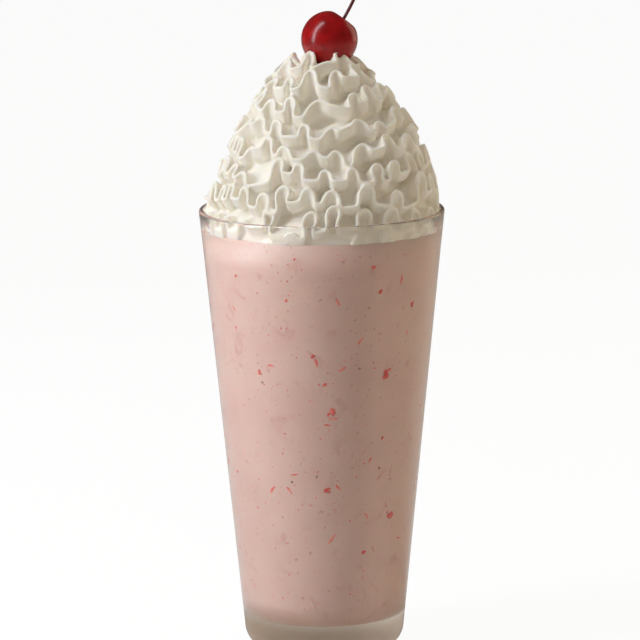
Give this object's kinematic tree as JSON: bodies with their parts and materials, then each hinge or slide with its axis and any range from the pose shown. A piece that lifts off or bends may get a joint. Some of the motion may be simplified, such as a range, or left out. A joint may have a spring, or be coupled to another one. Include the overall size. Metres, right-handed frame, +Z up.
{
  "type": "strawberry milkshake",
  "caption": "Strawberry milkshake with bits of fruit in a tall tapered glass, topped with a spiral of ruffled whipped cream and a cherry with its stem.",
  "frame": {"origin": "centre of the glass's foot, at table level", "axes": "+Z up along the glass's axis; -Y is the side shown by the picture; +X is its right"},
  "size_m": [0.09, 0.09, 0.2652],
  "materials": {
    "glass": "clear soda-lime glass, pressed and fire-polished",
    "milkshake": "smooth blended pink milk and ice cream with bits of strawberry",
    "whipped_cream": "stiff ivory whipped cream with a soft sheen",
    "cherry": "dark red cherry, wet with syrup",
    "cherry_stem": "dark red dyed stem"
  },
  "bodies": {
    "root": {"glass": "glass", "milkshake": "milkshake", "whipped_cream": "whipped_cream", "cherry": "cherry", "cherry_stem": "cherry_stem"}
  },
  "joints": []
}
